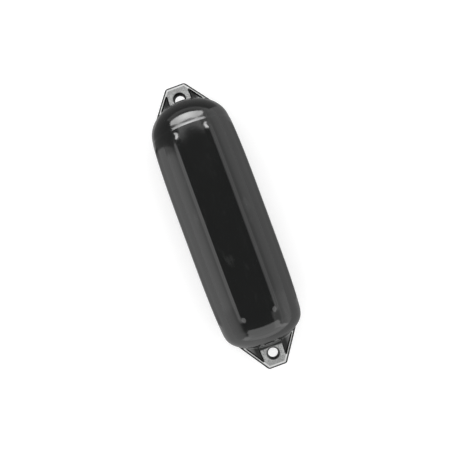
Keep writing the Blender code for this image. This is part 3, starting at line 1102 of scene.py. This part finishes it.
# %% [markdown]
# Some things in a studio aren't square or even: the bright box has slanted sides and a brighter
# heart, two dim flags stand close by the top end, and the ground mirrors darker near the fender,
# which shades it. A lamp can't have such a shape or such a fade, so they are glowing cards that
# neither the camera nor plain light sees.

# %% Cards
KEY_EDGE = 9.4
KEY_HEART = 16.0
KEY_HEART_REACH = 1.1
GROUND_FADE = 0.27
GROUND_GLOW = 1.5
GROUND_GLOW_RIGHT = 0.72 * GROUND_GLOW
GROUND_SIDES = (-0.1, 0.1)
HALF_BARREL = 0.2


def card(name, corners, glow):
    """A flat card of any outline, with a glow of its own, seen by gloss only."""
    bpy.ops.object.select_all(action="DESELECT")
    bpy.ops.mesh.primitive_circle_add(vertices=len(corners), fill_type="NGON")
    flat = bpy.context.object
    flat.name = name
    for vertex, corner in zip(flat.data.vertices, corners):
        vertex.co = corner
    material, tree, shader = new_finish(name + "_card", 1.0)
    shader.inputs["Base Color"].default_value = (0.0, 0.0, 0.0, 1.0)
    shader.inputs["Specular IOR Level"].default_value = 0.0
    shader.inputs["Emission Color"].default_value = WHITE
    shader.inputs["Emission Strength"].default_value = glow
    dress(flat, material)
    flat.visible_camera = False
    flat.visible_diffuse = False
    flat.visible_shadow = False
    flat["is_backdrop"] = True
    return tree, shader.inputs["Emission Strength"]


def brighten_heart(tree, glow, heart):
    """Makes a card brighter towards one place on it, as the tube inside a soft box does."""
    distance = node(tree, "ShaderNodeVectorMath", operation="DISTANCE")
    distance.inputs[1].default_value = heart
    tree.links.new(object_place(tree), distance.inputs[0])
    fade = span(tree, distance.outputs["Value"], 0.0, KEY_HEART_REACH, KEY_HEART, KEY_EDGE)
    tree.links.new(fade, glow)


def dim_by_fender(tree, glow):
    """Lets the ground card fade to dark towards the fender, and makes its right side dimmer."""
    sideways, lengthways = parts_of(tree, object_place(tree))[:2]
    past_end = calc(tree, "SUBTRACT", calc(tree, "ABSOLUTE", lengthways), HALF_BARREL)
    off = flat_length(tree, sideways, calc(tree, "MAXIMUM", past_end, 0.0))
    fade = calc(tree, "EXPONENT", calc(tree, "MULTIPLY", off, -1.0 / GROUND_FADE))
    level = span(tree, sideways, *GROUND_SIDES, GROUND_GLOW, GROUND_GLOW_RIGHT)
    tree.links.new(calc(tree, "MULTIPLY", calc(tree, "SUBTRACT", 1.0, fade), level), glow)


# %% Outlines of the cards
def fan(start, distance, outline):
    """Corners from (angle from overhead towards +Y, metres across), seen from a point."""
    angles = [math.radians(angle) for angle, across in outline]
    middle_angle = (min(angles) + max(angles)) / 2
    corners = []
    for turn, (angle, across) in zip(angles, outline):
        reach = distance / math.cos(turn - middle_angle)
        offset = Vector((across, reach * math.sin(turn), reach * math.cos(turn)))
        corners.append(tuple(Vector(start) + offset))
    return corners


def standing(start, end, height):
    """Corners of an upright card on the line from start to end."""
    return ((*start, 0.0), (*end, 0.0), (*end, height), (*start, height))


# %% Place the cards
KEY_HEART_AT = (44.75, 0.02)
KEY_OUTLINE = (
    (30.5, -1.0), (30.5, 1.0), (40.0, 1.75), (50.0, 1.85), (58.0, 1.75),
    (59.0, -2.1), (50.0, -2.15), (44.0, -2.0), (38.5, -1.6),
)
FLAG_GLOW = 0.33
GROUND_HALF = (1.5, 1.7)
GROUND_RISE = 0.001
GROUND_CORNERS = ((-1, -1), (1, -1), (1, 1), (-1, 1))

key_tree, key_glow = card("key", fan(TOP_SHOULDER, PANEL_DISTANCE, KEY_OUTLINE), KEY_EDGE)
brighten_heart(key_tree, key_glow, fan(TOP_SHOULDER, PANEL_DISTANCE, (KEY_HEART_AT,))[0])
card("flag_left", standing((-0.16, 0.199), (-0.16, 0.36), 0.24), FLAG_GLOW)
card("flag_top", standing((-0.16, 0.32), (0.20, 0.32), 0.16), FLAG_GLOW)
wide, long = GROUND_HALF
ground = [(wide * across, long * along, GROUND_RISE) for across, along in GROUND_CORNERS]
dim_by_fender(*card("flag_ground", ground, 1.0))
print("cards", [material.name for material in bpy.data.materials if material.name.endswith("_card")])

# %% [markdown]
# What is left to mirror is the room. It is white low down, like a white ground that goes on, and
# dark above, which keeps the top of the fender black.

# %% World
ROOM_BAND = (0.30, 0.60)
ROOM_LOW = 1.0
ROOM_HIGH = 0.21


def light_world():
    world = bpy.data.worlds.new("studio")
    bpy.context.scene.world = world
    world.use_nodes = True
    tree = world.node_tree
    sky = tree.nodes["Background"]
    upwards = parts_of(tree, node(tree, "ShaderNodeTexCoord").outputs["Generated"])[2]
    tree.links.new(span(tree, upwards, *ROOM_BAND, ROOM_LOW, ROOM_HIGH), sky.inputs["Strength"])
    sky.inputs["Color"].default_value = WHITE


light_world()

# %% [markdown]
# ## Measuring the size
# How far the visual model reaches outside the CAD model's box, below and above, is printed in
# millimetres. The visual model must stay inside the CAD model's box.

visual_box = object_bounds()
below = [round(1000 * (cad - visual), 2) for cad, visual in zip(cad_box[0], visual_box[0])]
above = [round(1000 * (visual - cad), 2) for cad, visual in zip(cad_box[1], visual_box[1])]
print("outside the CAD box, mm", below, above)
